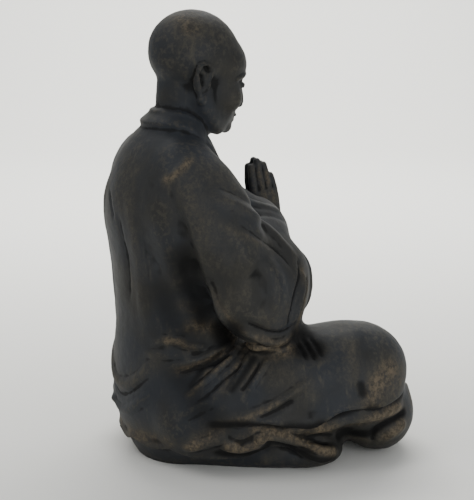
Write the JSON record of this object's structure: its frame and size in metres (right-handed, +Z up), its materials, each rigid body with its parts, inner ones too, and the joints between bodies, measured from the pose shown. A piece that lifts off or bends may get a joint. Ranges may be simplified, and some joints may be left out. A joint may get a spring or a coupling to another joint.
{
  "type": "monk figurine",
  "caption": "Seated monk statuette in a wide-sleeved robe, legs crossed, head bowed and palms joined in prayer, cast in one piece.",
  "frame": {"origin": "middle of the underside, on the plane the figurine stands on, under the middle of its bounding box", "axes": "+Z up through the head; the figure looks along -Y; its left hand is on the +X side"},
  "size_m": [0.095, 0.0976, 0.145],
  "materials": {
    "charcoal_resin": "half-matt near-black paint, dry-brushed with brown"
  },
  "bodies": {
    "root": {"monk_figurine": "charcoal_resin"}
  },
  "joints": []
}
